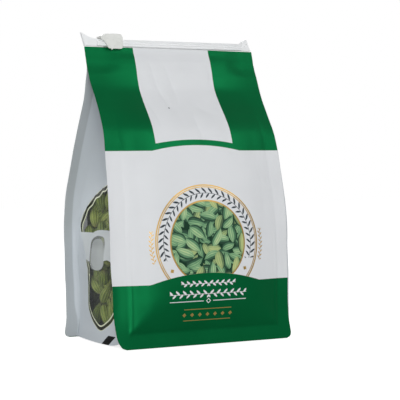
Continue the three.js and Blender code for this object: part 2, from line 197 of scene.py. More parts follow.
def along(table, at):
    """Smooth value between the pairs of a table, with no overshoot."""
    last = len(table) - 1
    if at <= table[0][0]:
        return table[0][1]
    if at >= table[last][0]:
        return table[last][1]
    i = 0
    while table[i + 1][0] < at:
        i += 1

    def rise(k):
        return (table[k + 1][1] - table[k][1]) / (table[k + 1][0] - table[k][0])

    def slope(k):
        if k in (0, last):
            return rise(min(k, last - 1))
        before, after = rise(k - 1), rise(k)
        return 0 if before * after <= 0 else 2 * before * after / (before + after)

    span = table[i + 1][0] - table[i][0]
    t = (at - table[i][0]) / span
    return ((2 * t ** 3 - 3 * t ** 2 + 1) * table[i][1] + (t ** 3 - 2 * t ** 2 + t) * span * slope(i)
            + (3 * t ** 2 - 2 * t ** 3) * table[i + 1][1] + (t ** 3 - t ** 2) * span * slope(i + 1))


def ramp(value, low, high):
    t = min(max((value - low) / (high - low), 0), 1)
    return t * t * (3 - 2 * t)


def root_x(z):
    """Where the fins begin, as a distance from the middle."""
    return along(HALF_WIDTH, z) - FIN_WIDTH


def fin_width(z, corner):
    """Width of a fin at a height, narrowed where its lower corner is cut round."""
    across, up = corner
    down = max(up - z, 0) / up
    return FIN_WIDTH - across * (1 - math.sqrt(1 - down * down))


def bulge(x, z):
    """How far the filling pushes a broad sheet out."""
    def ease(distance):
        t = min(max(distance, 0) / BULGE_REACH, 1)
        return 1 - (1 - t) ** 2
    sides = ease(root_x(z) - abs(x))
    foot = ease(z - SKIRT) if z > SKIRT else 0
    if sides * foot == 0:
        return 0
    return along(BULGE, z) * (sides ** -6 + foot ** -6) ** (-1 / 6)


def dents(x, z, seed):
    """Small hollows that the film has between the pods, and slack folds above the filling."""
    inner = ramp(root_x(z) - abs(x), 1, 10)
    filled = ramp(z, SKIRT, 18) * (1 - ramp(z, *FILL_FADE))
    pods = (1 - noise.noise(Vector((x / 7.5, seed, z / 8.5)))) * POD_DENT
    broad = (1 - noise.noise(Vector((x / 30 + 5, seed * 2, z / 26)))) * BROAD_DENT
    slack = 1 - abs(noise.noise(Vector((x / 15 + z / 60, seed * 3, z / 48)))) * 2
    folds = max(slack, 0) ** 3 * FOLD_DEPTH * ramp(z, 112, 132)
    folds = folds * (1 - ramp(z, 166, 180)) * (1 - ramp(abs(x), 20, 34))
    return inner * (pods * filled + broad * ramp(z, SKIRT, 24) * (1 - ramp(z, 116, 146)) + folds)


def pressed_crease(x, z):
    """The thin raised line that the sealing bars leave beside the fins, over the lower part of the sheet."""
    beside = math.exp(-((abs(x) - root_x(z) + CREASE_OFF) / CREASE_HALF) ** 2)
    return CREASE_HEIGHT * (beside * ramp(z, 7, 11) * (1 - ramp(z, 60, 90)))


def back_fin(z):
    """Depth of the back fins: they close in on the front ones before the middle of the back sheet does."""
    return along(BACK_EDGE, z) if z < BACK_FIN[0][0] else along(BACK_FIN, z)


def pinched(x, z, y, to_back):
    """Above the gussets the front and back fins are sealed straight to each other."""
    share = ramp(abs(x), root_x(z) - PINCH_REACH, root_x(z)) * ramp(z, PINCH_FROM, PINCH_TO)
    gap = FILM * (1 - 0.85 * ramp(z, PINCH_TO + 1, PINCH_TO + 4))
    return y + ((along(FRONT_EDGE, z) + back_fin(z)) / 2 + to_back * gap - y) * share


def fin_wave(x, z, seed):
    """The fins stand free, so they wave a little."""
    out = ramp(abs(x), root_x(z), root_x(z) + FIN_WIDTH) * ramp(z, 16, 40) * (1 - ramp(z, 150, 172))
    return out * FIN_WAVE * noise.noise(Vector((seed, z / 21, seed)))


def front_y(x, z):
    y = along(FRONT_EDGE, z) - bulge(x, z) + dents(x, z, 1.7) - pressed_crease(x, z)
    y += fin_wave(x, z, 4 if x < 0 else 9)
    if x < 0:
        swing = FIN_SWING * ramp(-x, root_x(z) - 2, root_x(z) + FIN_WIDTH)
        y += swing * (1 - ramp(z, 90, 150)) * ramp(z, 4, 26)
    return pinched(x, z, y, -1)


def film_piece(name, shape, thickness=FILM):
    """Gives a sheet its thickness on its inner side and a crisp rim, and puts it in the scene."""
    shape.normal_update()
    bmesh.ops.solidify(shape, geom=shape.faces[:], thickness=thickness * MM)
    for face in shape.faces:
        face.smooth = True
    for edge in shape.edges:
        if len(edge.link_faces) == 2 and edge.calc_face_angle(0) > SHARP_EDGE:
            edge.smooth = False
    return placed(name, shape)


def broad_sheet(name, depth_at, facing, left_corner, right_corner, shift=0.0):
    """A broad sheet: a flat grid whose points are carried to the pouch. Its seals are marked on it."""
    across, fin_steps, up, skirt_steps = 136, 10, 196, 10
    shape = bmesh.new()
    grid(shape, across, up)
    seal = shape.verts.layers.float.new("seal")
    for point in shape.verts:
        column = round((point.co.x + 1) / 2 * across)
        row = round((point.co.y + 1) / 2 * up)
        if facing > 0:
            column = across - column
        z = SKIRT * row / skirt_steps if row < skirt_steps else (
            SKIRT + (FILM_TOP - SKIRT) * (row - skirt_steps) / (up - skirt_steps))
        root = root_x(z)
        inner = across - 2 * fin_steps
        aside = shift * (1 - 0.6 * ramp(z, 60, 120)) * ramp(z, 2, 26)
        if column < fin_steps:
            x = -root - (fin_width(z, left_corner) + aside) * (1 - column / fin_steps)
        elif column > across - fin_steps:
            x = root + (fin_width(z, right_corner) - aside * 0.8) * (column - across + fin_steps) / fin_steps
        else:
            x = root * (2 * (column - fin_steps) / inner - 1)
        point.co = Vector((x, depth_at(x, z) + facing * 0.2, z)) * MM
        point[seal] = max(ramp(abs(x), root - 0.7, root + 0.3), 1 - ramp(z, SKIRT - 1.6, SKIRT - 0.6),
                          ramp(z, 172.5, 173.5))
    return film_piece(name, shape)


front = broad_sheet("front_sheet", front_y, -1, ROUND_CORNER, SMALL_CORNER, 1.1)


def shade(red, green, blue):
    """A screen colour as the plain values that a shader takes."""
    return tuple(((c / 255 + 0.055) / 1.055) ** 2.4 if c > 10 else c / 255 / 12.92
                 for c in (red, green, blue)) + (1,)


def calc(operation, *values):
    """A Math node's result, in the node tree that its linked values are in."""
    tree = next(value.id_data for value in values if isinstance(value, bpy.types.NodeSocket))
    inputs = {f"_{i}": value for i, value in enumerate(values)}
    return node(tree, "ShaderNodeMath", {"operation": operation}, **inputs).outputs[0]


def folded(operation):
    """A function that joins two or more values by one Math operation."""
    def join(first, *others):
        for other in others:
            first = calc(operation, first, other)
        return first
    return join


times, plus, minus = folded("MULTIPLY"), folded("ADD"), folded("SUBTRACT")
divided, power, larger = folded("DIVIDE"), folded("POWER"), folded("MAXIMUM")


def absolute(value):
    return calc("ABSOLUTE", value)


def scaled(value, factor, offset):
    return calc("MULTIPLY_ADD", value, factor, offset)


def blend_of(mask, low, high):
    """One colour over another, by a mask."""
    return node(mask.id_data, "ShaderNodeMix", {"data_type": "RGBA"}, _0=mask, _6=low, _7=high).outputs[2]


def relieve(shader, height, strength, distance, **settings):
    """Low relief on a surface, from a height."""
    feed(shader, Normal=node(shader.id_data, "ShaderNodeBump", settings, Strength=strength, Distance=distance,
                             Height=height).outputs[0])


def parts_of(vector):
    """The X, Y and Z of a vector."""
    return node(vector.id_data, "ShaderNodeSeparateXYZ", Vector=vector).outputs


def in_millimetres(position):
    return node(position.id_data, "ShaderNodeVectorMath", {"operation": "SCALE"}, _0=position,
                Scale=1000).outputs[0]


def attribute(tree, name):
    return node(tree, "ShaderNodeAttribute", {"attribute_name": name}).outputs["Fac"]


def group_of(name, inputs, outputs):
    """An empty node group with named float or colour sockets."""
    made = bpy.data.node_groups.new(name, "ShaderNodeTree")
    for key, kind, value in inputs:
        socket = made.interface.new_socket(key, in_out="INPUT", socket_type=kind)
        if value is not None:
            socket.default_value = value
    for key, kind in outputs:
        made.interface.new_socket(key, in_out="OUTPUT", socket_type=kind)
    return made, made.nodes.new("NodeGroupInput"), made.nodes.new("NodeGroupOutput")


FLOAT, COLOUR, VECTOR = "NodeSocketFloat", "NodeSocketColor", "NodeSocketVector"

# film_texture: the orange-peel of laminated film and the pressed weave of its heat seals.
film_texture, given, result = group_of("film texture", (("Position", VECTOR, None), ("Seal", FLOAT, 0.0)),
                                       (("Height", FLOAT), ("Roughness", FLOAT), ("Tone", FLOAT)))
position, seal = given.outputs["Position"], given.outputs["Seal"]
fine, cloud = noise_at(position, Scale=420, Detail=2), noise_at(position, Scale=38, Detail=3)
x, y, z = parts_of(position)
WEAVE_TURN = 3600
lines = [absolute(calc("SINE", times(scaled(plus(x, y), way, z), WEAVE_TURN))) for way in (1, -1)]
weave = times(calc("MINIMUM", *lines), seal)
rough = remapped(cloud, From_Min=0.35, From_Max=0.65, To_Min=0.38, To_Max=0.46)
feed(result, Height=scaled(cloud, 0.5, scaled(weave, 0.35, times(fine, 0.25))),
     Roughness=scaled(seal, 0.05, rough),
     Tone=remapped(cloud, From_Min=0.3, From_Max=0.7, To_Min=0.965, To_Max=1.0))

# leaf_row: a line of small slanted leaves, for the wreath and the garlands of the print.
leaf_row, given, result = group_of(
    "leaf row", (("Along", FLOAT, 0.0), ("Across", FLOAT, 0.0), ("Pitch", FLOAT, 4.0), ("Length", FLOAT, 1.7),
                 ("Width", FLOAT, 0.7), ("Lean", FLOAT, 0.7)), (("Mask", FLOAT),))
along_row, across_row, pitch = (given.outputs[key] for key in ("Along", "Across", "Pitch"))
near = times(minus(calc("FRACT", divided(along_row, pitch)), 0.5), pitch)
slant = divided(minus(near, times(across_row, given.outputs["Lean"])), given.outputs["Width"])
reach = divided(across_row, given.outputs["Length"])
inside = minus(1.0, times(reach, reach), absolute(slant))
feed(result, Mask=remapped(inside, From_Min=0.0, From_Max=0.12))

# pouch_print: the blocks of colour on a broad sheet, and, on the front, the wreathed roundel below them.
pouch_print, given, result = group_of(
    "pouch print", (("Position", VECTOR, None), ("Emblem", FLOAT, 1.0)),
    (("Color", COLOUR), ("Foil", FLOAT)))
x, _, z = parts_of(in_millimetres(given.outputs["Position"]))
BLOCK_AT, BLOCK_HALF, BLOCK_TOP, BLOCK_RISE = -1, 37, 37.9, 5.9
ROUNDEL_X, ROUNDEL_Z = 0.7, 62.3
OUTER_RING, INNER_RING = 34.1, 25.2
SPRIG_RADIUS = OUTER_RING + 3.4
STEM_RADIUS, LEAF_PITCH = 29.8, 4.1
RULE_AT, RULE_HALF, LOZENGE_HALF = 26.9, 26.0, 1.35
BEAD_PITCH, BEADS_AT, BEADS_HALF = 5.2, 18.6, 18.0


def edge(value, soft=0.12):
    """1 where a value is over 0, with a soft printed edge."""
    return remapped(value, From_Min=-soft, From_Max=soft)


def arch(centre, half, base, rise):
    """Height of a shallow arch over x, flat outside its two ends."""
    off = divided(minus(x, centre), half)
    top = larger(minus(1.0, times(off, off)), 0.0)
    return scaled(top, rise, base)


def line(value, at, half):
    """1 within half of a line."""
    return edge(minus(half, absolute(minus(value, at))), 0.08)


def leaves(along_row, across_row, pitch, length, width, lean):
    """Leaves of the print, along and to one side of a line."""
    return node(across_row.id_data, "ShaderNodeGroup", {"node_tree": leaf_row}, Along=along_row,
                Across=across_row, Pitch=pitch, Length=length, Width=width, Lean=lean).outputs[0]


above_band = edge(minus(z, arch(0, 30, 118.1, 3.4)))
white_middle = times(edge(minus(z, arch(0, 26, 122.7, 2.3))), edge(plus(x, 27.0)), edge(minus(26.0, x)))
upper_green = times(above_band, minus(1.0, white_middle))
above_block = edge(minus(z, arch(BLOCK_AT, BLOCK_HALF, BLOCK_TOP, BLOCK_RISE)))
green = larger(upper_green, minus(1.0, above_block))

up_from, aside_from = minus(z, ROUNDEL_Z), minus(x, ROUNDEL_X)
radius = calc("SQRT", plus(times(aside_from, aside_from), times(up_from, up_from)))
turn = calc("ARCTAN2", up_from, aside_from)
rings = larger(line(radius, OUTER_RING - 0.55, 0.3), line(radius, OUTER_RING + 0.55, 0.42),
               line(radius, INNER_RING, 0.5))
round_ring = times(turn, 30.0)
leaf_out = leaves(round_ring, minus(radius, 31.5), LEAF_PITCH, 1.9, 0.85, 0.75)
leaf_in = leaves(plus(round_ring, LEAF_PITCH / 2), minus(radius, 28.3), LEAF_PITCH, 1.7, 0.8, -0.75)
wreath = larger(leaf_out, leaf_in, line(radius, STEM_RADIUS, 0.16))
in_wreath = times(edge(plus(up_from, 10.5)), wreath)
from_side = calc("ARCTAN2", up_from, absolute(aside_from))
sprig = line(radius, SPRIG_RADIUS, 0.14)
for lean, off, shift in ((0.9, 0.8, 0.0), (-0.9, -0.8, 1.3)):
    sprig = larger(sprig, leaves(scaled(from_side, SPRIG_RADIUS, shift), minus(radius, SPRIG_RADIUS + off),
                                 2.6, 0.85, 0.55, lean))
drops = times(sprig, edge(minus(0.26, absolute(plus(from_side, 0.06))), 0.004))
from_foot = absolute(plus(turn, math.pi / 2))
for angle in (0.98, 0.72):
    far = plus(times(absolute(minus(from_foot, angle)), STEM_RADIUS), absolute(minus(radius, STEM_RADIUS)))
    drops = larger(drops, edge(minus(LOZENGE_HALF, far)))
gold = times(larger(rings, drops), above_block)

aside = absolute(x)
garlands = []
for height_at, reach_to, pitch, length in ((37.5, 18.5, 3.9, 1.15), (31.2, RULE_HALF, 4.6, 1.5)):
    off = minus(z, height_at)
    upper = leaves(aside, minus(off, length * 0.7), pitch, length, 0.95, 0.8)
    lower = leaves(plus(aside, pitch / 2), plus(off, length * 0.7), pitch, length * 0.9, 0.9, -0.8)
    garlands.append(times(larger(upper, lower, line(off, 0.0, 0.17)), edge(minus(reach_to, aside))))
rule = times(line(z, RULE_AT, 0.24), edge(minus(aside, 3.2)), edge(minus(RULE_HALF, aside)))
lozenge = line(plus(aside, absolute(minus(z, RULE_AT))), LOZENGE_HALF, 0.32)
white_marks = larger(rule, lozenge, *garlands)
bead_step = times(minus(calc("FRACT", plus(divided(x, BEAD_PITCH), 0.5)), 0.5), BEAD_PITCH)
bead_at = plus(absolute(bead_step), absolute(minus(z, BEADS_AT)))
beads = times(edge(minus(1.25, bead_at)), edge(minus(BEADS_HALF, aside)))
bead_lines = times(larger(line(z, 22.0, 0.2), line(z, 15.2, 0.2)), edge(minus(16.0, aside)))
gold = larger(gold, larger(beads, bead_lines))
picture = times(edge(minus(INNER_RING - 0.4, radius)), above_block)
emblem = given.outputs["Emblem"]
gold = times(gold, emblem)

WHITE_INK = shade(226, 228, 230)
GREEN_INK = shade(0, 110, 60)
GREEN_SHEEN = 0.7
DARK_INK = shade(58, 66, 72)
GOLD_INK = shade(216, 178, 104)
PICTURE_GROUND = shade(24, 58, 40)
colour = blend_of(green, WHITE_INK, GREEN_INK)
colour = blend_of(times(times(in_wreath, above_block), emblem), colour, DARK_INK)
colour = blend_of(times(picture, emblem), colour, PICTURE_GROUND)
colour = blend_of(times(white_marks, emblem), colour, WHITE_INK)
vent = calc("SQRT", plus(power(plus(x, 11.0), 2.0), power(minus(z, 145.0), 2.0)))
colour = blend_of(times(edge(minus(0.42, vent)), emblem), colour, DARK_INK)
printed_over = times(larger(white_marks, times(picture, above_block)), emblem)
sheen = times(green, minus(1.0, printed_over), GREEN_SHEEN)
feed(result, Color=blend_of(gold, colour, GOLD_INK), Foil=larger(gold, sheen))


def film_finish(shader):
    """Film texture on a shader. Gives back the texture's tone and the mask of the seals."""
    tree = shader.id_data
    seal = attribute(tree, "seal")
    film = node(tree, "ShaderNodeGroup", {"node_tree": film_texture}, Position=own_position(tree),
                Seal=seal).outputs
    feed(shader, Roughness=film["Roughness"])
    relieve(shader, film["Height"], 0.35, 0.00012)
    return film["Tone"], seal


def printed_film(name, emblem):
    """Printed film: white and green ink under satin film, with gold foil and pressed seals."""
    made, tree, shader = material(name, IOR=1.46, Specular_IOR_Level=0.2)
    tone, _ = film_finish(shader)
    inks = node(tree, "ShaderNodeGroup", {"node_tree": pouch_print}, Position=own_position(tree),
                Emblem=emblem)
    toned = node(tree, "ShaderNodeMix", {"data_type": "RGBA", "blend_type": "MULTIPLY"}, Factor=1.0,
                 _6=inks.outputs["Color"], _7=tone)
    feed(shader, Base_Color=toned.outputs[2], Metallic=inks.outputs["Foil"])
    return made


front.data.materials.append(printed_film("front_print", 1.0))
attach(front, "pouch")
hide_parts("front_film")

# The picture in the roundel: a heap of pods printed flat on the film. Each printed pod is a thin leaf of
# ink lying on the sheet, and those at the rim are cut off by the gold ring and by the green block.
PICTURE_RADIUS = 24.7
PRINT_TRIES, PRINT_CORE, PRINT_LIFT = 2200, 3.5, 0.23
PRINT_LAYERS = (((8, 11), 2.5, 0.1), ((9, 12.5), 3.4, 0.25), ((10.5, 13.5), 6.2, 0.5))


def segments_apart(one, other):
    """Nearest distance between two line segments in a plane, sampled along both."""
    return min((a - b).length for a in one for b in other)


def lay_out(points, layer):
    """Lays a flat grid's faces out on a UV map, before its points are carried anywhere."""
    for face in {face for point in points for face in point.link_faces}:
        face.smooth = True
        for corner in face.loops:
            corner[layer].uv = (corner.vert.co.x / 2 + 0.5, corner.vert.co.y / 2 + 0.5)


def packed_segments(rng, tries, draw, apart, core):
    """Throws pod axes at random and keeps those that lie clear of the others."""
    kept = []
    for _ in range(tries):
        centre, turn, length = draw(rng)
        way = Vector((math.cos(turn), math.sin(turn)))
        points = [centre + way * (length - core) * s for s in (-0.5, -0.25, 0, 0.25, 0.5)]
        if all(segments_apart(points, other[3]) > apart for other in kept):
            kept.append((centre, turn, length, points))
    return kept


rng = random.Random(11)
shape = bmesh.new()
printed = []
for layer, (lengths, apart, _) in enumerate(PRINT_LAYERS):
    def throw(rng):
        out = PICTURE_RADIUS * math.sqrt(rng.random()) * 1.04
        where = rng.random() * math.tau
        centre = Vector((ROUNDEL_X + math.cos(where) * out, ROUNDEL_Z + math.sin(where) * out))
        return centre, rng.random() * math.tau, rng.uniform(*lengths)
    printed += [(layer, *found) for found in packed_segments(rng, PRINT_TRIES, throw, apart, PRINT_CORE)]
print_uv = shape.loops.layers.uv.new("across_along")
tints = shape.verts.layers.float.new("tint")
for count, (layer, centre, turn, length, _) in enumerate(printed):
    wide, blunt = rng.uniform(4.8, 5.6) + layer * 0.35, rng.uniform(0.5, 0.72)
    tint = rng.random() * 0.5 + PRINT_LAYERS[layer][2]
    leaf = grid(shape, 8, 16)
    lay_out(leaf, print_uv)
    for point in leaf:
        u, v = point.co.x, point.co.y
        half = wide / 2 * max(1 - abs(v) ** 2.2, 0) ** (blunt + 0.5 * max(v, 0)) * (1 - 0.1 * v) + 0.05
        side = Vector((math.cos(turn), math.sin(turn)))
        over = Vector((-side.y, side.x))
        at = centre + side * (v * length / 2) + over * (u * half + 0.35 * math.sin(v * 2.4 + count))
        away = at - Vector((ROUNDEL_X, ROUNDEL_Z))
        if away.length > PICTURE_RADIUS:
            at = Vector((ROUNDEL_X, ROUNDEL_Z)) + away * (PICTURE_RADIUS / away.length)
        at.y = max(at.y, BLOCK_TOP + BLOCK_RISE * max(1 - ((at.x - BLOCK_AT) / BLOCK_HALF) ** 2, 0))
        lift = PRINT_LIFT + 0.0016 * count + 0.004 * layer
        point.co = Vector((at.x, front_y(at.x, at.y) - lift, at.y)) * MM
        point[tints] = tint
bmesh.ops.dissolve_degenerate(shape, dist=1e-6, edges=shape.edges[:])
shape.normal_update()
printed_pods = placed("printed_pods", shape)


def laid(tree, name):
    """Places on a piece's own UV map."""
    return parts_of(node(tree, "ShaderNodeUVMap", {"uv_map": name}).outputs[0])


def coloured(value, *stops):
    """A ramp of screen colours over a value."""
    made = node(value.id_data, "ShaderNodeValToRGB", Fac=value)
    elements = made.color_ramp.elements
    for stop, (place, colour) in zip(elements, (stops[0], stops[-1])):
        stop.position, stop.color = place, shade(*colour)
    for place, colour in stops[1:-1]:
        elements.new(place).color = shade(*colour)
    return made.outputs[0]


ink, tree, shader = material("printed_pod_ink", Roughness=0.4, IOR=1.48)
where = laid(tree, "across_along")
tint = attribute(tree, "tint")
across, lengthwise = scaled(where["X"], 2.0, -1.0), scaled(where["Y"], 2.0, -1.0)
lit = minus(1.0, power(absolute(plus(across, 0.42)), 2.2))
ribs = times(calc("SINE", times(across, 13.0)), 0.13)
ends = times(power(absolute(lengthwise), 3.0), -0.25)
blotch = noise_at(own_position(tree), Scale=260, Detail=3)
tone = plus(times(lit, 0.5), ribs, ends, scaled(tint, 0.36, scaled(blotch, 0.3, -0.2)))
inked = coloured(tone, (0.0, (22, 62, 42)), (0.2, (52, 98, 68)), (0.42, (98, 146, 106)),
                 (0.62, (136, 178, 130)), (0.82, (176, 202, 150)), (1.0, (206, 214, 150)))
warm = times(calc("GREATER_THAN", calc("FRACT", times(tint, 7.3)), 0.7), times(larger(tone, 0.0), 0.7))
feed(shader, Base_Color=blend_of(warm, inked, shade(198, 196, 116)))
relieve(shader, noise_at(own_position(tree), Scale=600), 0.2, 0.0001)
printed_pods.data.materials.append(ink)
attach(printed_pods, "pouch")

# The back sheet: the same film with the same blocks of colour and no roundel, sealed like the front.


def back_y(x, z):
    to_fin = ramp(abs(x), root_x(z) - PINCH_REACH, root_x(z))
    y = along(BACK_EDGE, z) * (1 - to_fin) + back_fin(z) * to_fin
    y += bulge(x, z) - dents(x, z, 7.3) + pressed_crease(x, z) + fin_wave(x, z, 13 if x < 0 else 17)
    return pinched(x, z, y, 1)


rear = broad_sheet("back_sheet", back_y, 1, SMALL_CORNER, SMALL_CORNER)
rear.data.materials.append(printed_film("back_print", 0.0))
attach(rear, "pouch")
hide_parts("back_film")

# The side gussets: plain pale film that backs the fins and folds in along its middle above the filling.
# A pear-shaped window is left unprinted in each, so that the pods show through the clear film.
TUCK = ((0, -3), (20, -4.2), (50, -4), (62, -2.5), (72, 3), (84, 12), (96, 20), (110, 27), (125, 32),
        (140, 36), (150, 38), (168, 39.5))
GUSSET_TOP = 174
GUSSET_FOOT = 0.4
HEM_LIFT = 6.8
FOLD_HALF = 0.5
VALLEY_RADIUS = 3.2
SLACK, SLACK_SEED = 0.45, 3.1
SPREAD = 38.9
WINDOW = ((-4, 8), (-11, 10.4), (-18.5, 14.4), (-24, 20.5), (-26, 29), (-26.5, 38), (-27, 47), (-29, 56),
          (-32, 65), (-33.2, 73), (-31.5, 82), (-26.5, 91), (-20, 97.6), (-12, 102.3), (0, 104.5),
          (12, 102.3), (19, 98), (25.5, 91.5), (30.5, 84), (33.7, 77), (34.2, 71), (31.5, 65), (25.5, 59),
          (19.5, 53), (16.6, 46), (16.8, 38), (18.4, 29), (18, 21), (13, 15), (5, 10.4))
WINDOW_CENTRE = Vector((0, 57))
WINDOW_REACH = tuple(sorted(
    (math.atan2(off, z - WINDOW_CENTRE.y) + wrap, math.hypot(off, z - WINDOW_CENTRE.y))
    for off, z in WINDOW for wrap in (-math.tau, 0, math.tau)))
SIDE_STEPS, END_STEPS = 105, 48
RINGS_OUT, RINGS_IN = 30, 26
MERGE = 2e-5
PANE_THICKNESS = 0.12


def valley(distance, z):
    """The film turns gently from the back fin into the gusset, round a small radius."""
    left = min(max(VALLEY_RADIUS - distance, 0), VALLEY_RADIUS)
    depth = VALLEY_RADIUS - math.sqrt(VALLEY_RADIUS ** 2 - left ** 2)
    return depth * ramp(z, 4, 24) * (1 - ramp(z, 150, 166))


def web_point(side, t, z, inward=0.0):
    """A point of a gusset, from its front fin (t = 0) over the fold to its back fin (t = 1)."""
    lift = HEM_LIFT * (1 - t / 0.3) ** 2 if t < 0.3 else 0
    z = z + lift * (1 - z / 20) if z < 20 else z
    foremost, hindmost = along(FRONT_EDGE, z) + 0.3, back_fin(z) - 0.3
    closing, between = ramp(z, PINCH_FROM, PINCH_TO), (foremost + hindmost) / 2
    foremost += (between - 0.1 - foremost) * closing
    hindmost += (between + 0.1 - hindmost) * closing
    flat = min(FOLD_HALF / (hindmost - foremost), 0.2)
    tent = min((0.5 - abs(t - 0.5)) / (0.5 - flat), 1)
    arc = 1 - (2 * t - 1) ** 2
    sharp = ramp(z, 40, 92) * 0.8 + 0.2
    tuck = along(TUCK, z)
    lean = math.hypot(1, tuck / ((hindmost - foremost) / 2))
    slack = noise.noise(Vector((t * 5, SLACK_SEED * side, z / 19))) * 0.7
    slack += noise.noise(Vector((t * 11, SLACK_SEED, z / 8))) * 0.25
    slack = (1 - slack) * SLACK * ramp(min(t, 1 - t), 0, 0.12) * ramp(z, 3, 14) * (1 - ramp(z, 150, 164))
    x = root_x(z) - tuck * (arc + (tent - arc) * sharp) - (inward + slack) * lean
    x += valley((1 - t) * (hindmost - foremost), z)
    y = foremost + (hindmost - foremost) * t
    fins = (front_y(side * root_x(z), z) - along(FRONT_EDGE, z)) * (1 - closing)
    return Vector((side * x, y + fins * max(1 - t * 6, 0), z))


def boundary(k):
    """Point k round the edge of a gusset laid flat, as distance from the fold and height."""
    corners = ((-SPREAD, GUSSET_FOOT), (-SPREAD, GUSSET_TOP), (SPREAD, GUSSET_TOP), (SPREAD, GUSSET_FOOT))
    for steps, start, end in zip((SIDE_STEPS, END_STEPS) * 2, corners, corners[1:] + corners[:1]):
        if k <= steps:
            return Vector(start).lerp(Vector(end), k / steps)
        k -= steps
    return Vector((-SPREAD, GUSSET_FOOT))


def rim_point(edge_point):
    """Where the line from the window's centre to a boundary point crosses the window's outline."""
    away = edge_point - WINDOW_CENTRE
    reach = along(WINDOW_REACH, math.atan2(away.x, away.y))
    return WINDOW_CENTRE + away.normalized() * reach


def gusset_grid(shape, side, rings, start_at, end_at):
    """A ring-shaped grid between two closed outlines of the gusset, carried to the pouch."""
    around = 2 * (SIDE_STEPS + END_STEPS)
    for point in grid(shape, around, rings):
        k = round((point.co.x + 1) / 2 * around)
        share = (point.co.y + 1) / 2
        outer = boundary(k)
        flat = start_at(outer).lerp(end_at(outer), share)
        point.co = web_point(side, (flat.x + SPREAD) / (2 * SPREAD), flat.y) * MM


def face_outwards(shape, side):
    """Turns a gusset's faces to the outside of the pouch."""
    shape.normal_update()
    turned = sum(face.normal.x * face.calc_area() for face in shape.faces)
    if turned * side < 0:
        bmesh.ops.reverse_faces(shape, faces=shape.faces[:])


def plain_film(name, with_black_patch):
    """Pale grey-white satin film, for the left gusset with a small black slanted patch low on its hem."""
    made, tree, shader = material(name, IOR=1.48, Specular_IOR_Level=0.15)
    tone, seal = film_finish(shader)
    x, y, z = parts_of(own_position(tree))
    slant = scaled(z, -1.6, times(y, -1.0))
    ahead = times(calc("GREATER_THAN", slant, 0.0055), calc("LESS_THAN", slant, 0.0150))
    low = times(calc("LESS_THAN", z, 0.0062), calc("LESS_THAN", x, 0.0), calc("LESS_THAN", seal, 0.5))
    colour = blend_of(seal, blend_of(tone, shade(163, 171, 176), shade(207, 214, 219)), shade(184, 190, 193))
    if with_black_patch:
        colour = blend_of(times(ahead, low), colour, shade(2, 2, 2))
    feed(shader, Base_Color=colour)
    return made


gusset_film = plain_film("gusset_film", True)
pane_film, tree, shader = material("window_film", Roughness=0.16, IOR=1.5)
LABEL_TOP, LABEL_FOOT = 67.9, 51.0
CAPSULE_Y, CAPSULE_Z, CAPSULE_REACH = 1.5, 55.7, 6.6
position = own_position(tree)
_, y, z = parts_of(in_millimetres(position))
inset, round_rim, _ = laid(tree, "inset")
round_rim, inset = times(round_rim, math.tau), times(inset, 50.0)
scallop = times(times(calc("SINE", times(round_rim, 29.0)), 0.55), edge(minus(z, 70.0), 3.0))
inner_line = line(plus(inset, scallop), 2.9, 0.42)
arch_off = divided(plus(y, 1.0), 15.0)
label_top = scaled(larger(minus(1.0, power(absolute(arch_off), 4.0)), 0.0), 1.9, LABEL_TOP)
above_foot = edge(minus(z, plus(calc("SINE", times(y, 0.33)), LABEL_FOOT)), 0.2)
drop_y = power(absolute(times(minus(y, CAPSULE_Y), 0.58)), 2.5)
drop_z = power(larger(minus(absolute(minus(z, CAPSULE_Z)), 4.0), 0.0), 2.5)
drop_far = power(plus(drop_y, drop_z), 0.4)
capsule = edge(minus(CAPSULE_REACH, drop_far), 0.3)
capsule_rim = times(line(drop_far, 5.7, 0.8), edge(minus(z, minus(53.0, y)), 6.0))
capsule_top = times(capsule, edge(minus(z, 59.5), 1.8))
label = larger(times(edge(minus(label_top, z), 0.2), above_foot), capsule)
clear = minus(1.0, label)
cream = times(larger(inner_line, line(inset, 0.0, 0.34)), clear)
# Painted shadow: a dark olive band between the window's rim and its inner cream line, drawn almost opaque on
# the pane, stands for the shaded pods seen through the clear film there.
painted_shadow_band = times(times(line(plus(inset, scallop), 1.45, 0.95), 0.5), clear)
haze = noise_at(position, Scale=70, Detail=3)
colour = blend_of(cream, shade(224, 230, 231), shade(236, 242, 206))
feed(shader, Base_Color=blend_of(times(painted_shadow_band, 2.0), colour, shade(40, 46, 26)))
over = plus(times(haze, 0.05), times(painted_shadow_band, 0.9), times(cream, 0.9), times(label, 0.9))
over = minus(over, times(capsule, 0.36), times(capsule_rim, 0.26), times(capsule_top, 0.14))
# Partly painted reflection: towards grazing view the pane grows more opaque, which strengthens its real
# reflection and also shows more of its milky colour as a painted reflection.
gloss = node(tree, "ShaderNodeLayerWeight", Blend=0.25).outputs["Facing"]
feed(shader, Alpha=node(tree, "ShaderNodeClamp", Value=scaled(gloss, 0.05, over), Max=0.96).outputs[0])
film = node(tree, "ShaderNodeGroup", {"node_tree": film_texture}, Position=position)
relieve(shader, film.outputs["Height"], 0.5, 0.0002)

